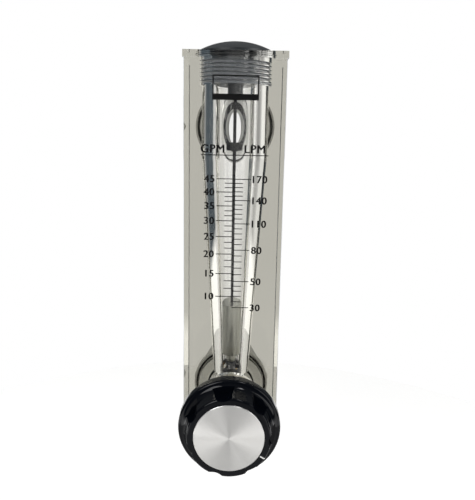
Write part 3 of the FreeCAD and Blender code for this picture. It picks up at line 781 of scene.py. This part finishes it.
def scale_mark_tree():
    """A row of printed marks in the XZ plane, whose heights rise with the root of the flow."""
    tree = bpy.data.node_groups.new("scale_marks", "GeometryNodeTree")
    tree.interface.new_socket(name="Geometry", in_out="INPUT", socket_type="NodeSocketGeometry")
    tree.interface.new_socket(name="Geometry", in_out="OUTPUT", socket_type="NodeSocketGeometry")
    group_socket(tree, "first_flow", "NodeSocketFloat", 10.0)
    group_socket(tree, "flow_step", "NodeSocketFloat", 5.0)
    group_socket(tree, "count", "NodeSocketInt", 8)
    group_socket(tree, "left_out", "NodeSocketInt", 9)
    group_socket(tree, "foot", "NodeSocketFloat", 0.01)
    group_socket(tree, "gain", "NodeSocketFloat", 0.02)
    group_socket(tree, "middle", "NodeSocketFloat", 0.0)
    group_socket(tree, "length", "NodeSocketFloat", 0.01)
    group_socket(tree, "width", "NodeSocketFloat", 0.0005)
    group_socket(tree, "finish", "NodeSocketMaterial", None)
    given = tree.nodes.new("NodeGroupInput").outputs
    index = wired(tree, "GeometryNodeInputIndex").outputs[0]
    flow = wired(
        tree,
        "ShaderNodeMath",
        [(0, index), (1, given["flow_step"]), (2, given["first_flow"])],
        operation="MULTIPLY_ADD",
    )
    root = wired(tree, "ShaderNodeMath", [(0, flow.outputs[0])], operation="SQRT")
    height = wired(
        tree,
        "ShaderNodeMath",
        [(0, root.outputs[0]), (1, given["gain"]), (2, given["foot"])],
        operation="MULTIPLY_ADD",
    )
    spot = wired(tree, "ShaderNodeCombineXYZ", [("X", given["middle"]), ("Z", height.outputs[0])])
    line = wired(
        tree, "GeometryNodeMeshLine", [("Count", given["count"]), ("Offset", (0, 0, 0))]
    )
    row = wired(
        tree,
        "GeometryNodeSetPosition",
        [("Geometry", line.outputs[0]), ("Position", spot.outputs[0])],
    )
    place = wired(tree, "ShaderNodeMath", [(0, index), (1, 1.0)], operation="ADD")
    beat = wired(
        tree, "ShaderNodeMath", [(0, place.outputs[0]), (1, given["left_out"])], operation="MODULO"
    )
    under_long = wired(
        tree, "ShaderNodeMath", [(0, beat.outputs[0]), (1, 0.5)], operation="LESS_THAN"
    )
    kept = wired(
        tree,
        "GeometryNodeDeleteGeometry",
        [("Geometry", row.outputs[0]), ("Selection", under_long.outputs[0])],
        domain="POINT",
    )
    flat = wired(
        tree,
        "GeometryNodeMeshGrid",
        [
            ("Size X", given["length"]),
            ("Size Y", given["width"]),
            ("Vertices X", 2),
            ("Vertices Y", 2),
        ],
    )
    upright = wired(
        tree,
        "GeometryNodeTransform",
        [("Geometry", flat.outputs[0]), ("Rotation", (math.pi / 2, 0, 0))],
    )
    marks = wired(
        tree,
        "GeometryNodeInstanceOnPoints",
        [("Points", kept.outputs[0]), ("Instance", upright.outputs[0])],
    )
    real = wired(tree, "GeometryNodeRealizeInstances", [("Geometry", marks.outputs[0])])
    dressed = wired(
        tree,
        "GeometryNodeSetMaterial",
        [("Geometry", real.outputs[0]), ("Material", given["finish"])],
    )
    out = tree.nodes.new("NodeGroupOutput")
    tree.links.new(dressed.outputs[0], out.inputs[0])
    return tree


scale_marks = scale_mark_tree()


def mark_row(first, step, count, left, right, left_out=None):
    """Marks from the first flow up, in gallons. Where short marks pass the long ones, each mark
    whose place in the row is a multiple of left_out is missing."""
    row = placed(bpy.data.meshes.new("marks"))
    set_inputs(
        row,
        scale_marks,
        first_flow=float(first),
        flow_step=float(step),
        count=count,
        left_out=left_out or count + 1,
        foot=scale_foot * mm,
        gain=scale_gain * mm,
        middle=(left + right) / 2 * mm,
        length=(right - left) * mm,
        width=line_width * mm,
        finish=ink,
    )
    baked(row)
    row.data.transform(Matrix.Translation((0, ink_front * mm, 0)))
    prints.append(row.data)
    bpy.data.objects.remove(row)


def ink_patch(left, right, foot, top):
    """A flat printed rectangle on the block's front, in millimetres."""
    corners = [(left, foot), (right, foot), (right, top), (left, top)]
    ink_shape.faces.new(
        [ink_shape.verts.new((x * mm, ink_front * mm, z * mm)) for x, z in corners]
    )


def flow_height(gallons):
    """The height of a flow's mark, in millimetres."""
    return scale_foot + scale_gain * math.sqrt(gallons)


def ink_word(text, size, height, left=None, right=None):
    """Printed lettering, set by the height of its middle and by its left or right edge. It is
    made bold by several prints, each moved by a part of the stroke."""
    data = bpy.data.curves.new("lettering", "FONT")
    data.body = text
    data.size = size / capital_share * mm
    data.space_character = letter_spacing
    thing = placed(data)
    bpy.context.view_layer.update()
    mesh = bpy.data.meshes.new_from_object(
        thing.evaluated_get(bpy.context.evaluated_depsgraph_get())
    )
    bpy.data.objects.remove(thing)
    xs = [vertex.co.x for vertex in mesh.vertices]
    ys = [vertex.co.y for vertex in mesh.vertices]
    start = left * mm - min(xs) if left is not None else right * mm - max(xs)
    drop = height * mm - (min(ys) + max(ys)) / 2
    for layer, (across, up) in enumerate(bold_shifts):
        copy = mesh.copy()
        place = (start + across * mm, (ink_front + layer * bold_step) * mm, drop + up * mm)
        copy.transform(Matrix.Translation(place) @ Matrix.Rotation(math.pi / 2, 4, "X"))
        prints.append(copy)
    bpy.data.meshes.remove(mesh)


mark_row(10, 5, 8, -long_mark, 0.0)
mark_row(10 + 5 / 3, 5 / 3, 20, -short_gallon_mark, 0.0, left_out=3)
mark_row(30 * litre, 0.0, 1, 0.0, long_mark)
mark_row(50 * litre, 30 * litre, 5, 0.0, long_mark)
mark_row(34 * litre, 4 * litre, 4, 0.0, short_litre_mark)
mark_row(56 * litre, 6 * litre, 19, 0.0, short_litre_mark, left_out=5)
for gallons in range(10, 46, 5):
    ink_word(str(gallons), number_size, flow_height(gallons), right=gallons_end)
for litres in (30, 50, 80, 110, 140, 170):
    ink_word(str(litres), number_size, flow_height(litres * litre), left=litres_start)
ink_word("GPM", unit_size, unit_height, left=unit_left)
ink_word("LPM", unit_size, unit_height, left=litre_unit_start)
ink_patch(unit_left, unit_right, unit_line - line_width / 2, unit_line + line_width / 2)
ink_patch(frame_left, frame_right, frame_foot, band_top)
ink_patch(frame_left, frame_right, frame_top - frame_line, frame_top)
ink_patch(frame_left, frame_left + frame_line, band_top, frame_top - frame_line)
ink_patch(frame_right - frame_line, frame_right, band_top, frame_top - frame_line)
ink_mesh = bpy.data.meshes.new("printed_scale")
for mesh in prints:
    ink_shape.from_mesh(mesh)
    bpy.data.meshes.remove(mesh)
bmesh.ops.recalc_face_normals(ink_shape, faces=ink_shape.faces)
for face in ink_shape.faces:
    if face.normal.y > 0:
        face.normal_flip()
ink_shape.to_mesh(ink_mesh)
ink_shape.free()
ink_mesh.materials.append(ink)
print_layer = placed(ink_mesh)
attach(print_layer, "meter")


# The knob's index. A white line filled into the front of one lobe, from the face disc over the
# rounded rim and a little way down the side.
index_angle = math.radians(-30.7)
index_width = 0.8
index_lift = 0.04
index_down_side = 3.2
skirtward = 0.12
rim_steps = 8
knob_front = -103.0
grip_radius = 24.9
rim_round = 1.4
face_disc_radius = 20.7
index_paint = moulded_plastic("index_white", (0.78, 0.78, 0.76), 0.4)
profile = [(face_disc_radius + 0.7, knob_front - index_lift)]
for step in range(rim_steps + 1):
    turn = step / rim_steps * math.pi / 2
    profile.append(
        (
            grip_radius - rim_round + (rim_round + index_lift) * math.sin(turn),
            knob_front + rim_round - (rim_round + index_lift) * math.cos(turn),
        )
    )
profile.append((grip_radius + index_lift + skirtward, knob_front + index_down_side))
index_shape = bmesh.new()
rows = []
for reach, depth in profile:
    row = []
    for side_step in (-0.5, 0.5):
        flat_x = reach * math.cos(index_angle) - side_step * index_width * math.sin(index_angle)
        flat_z = reach * math.sin(index_angle) + side_step * index_width * math.cos(index_angle)
        row.append(index_shape.verts.new((flat_x * mm, depth * mm, flat_z * mm)))
    rows.append(row)
for first, second in zip(rows, rows[1:]):
    index_shape.faces.new((first[0], second[0], second[1], first[1]))
bmesh.ops.recalc_face_normals(index_shape, faces=index_shape.faces)
index_mesh = bpy.data.meshes.new("knob_index")
index_shape.to_mesh(index_mesh)
index_shape.free()
index_mesh.materials.append(index_paint)
index_line = placed(index_mesh)
shaded(index_line, 60.0)
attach(index_line, "knob")
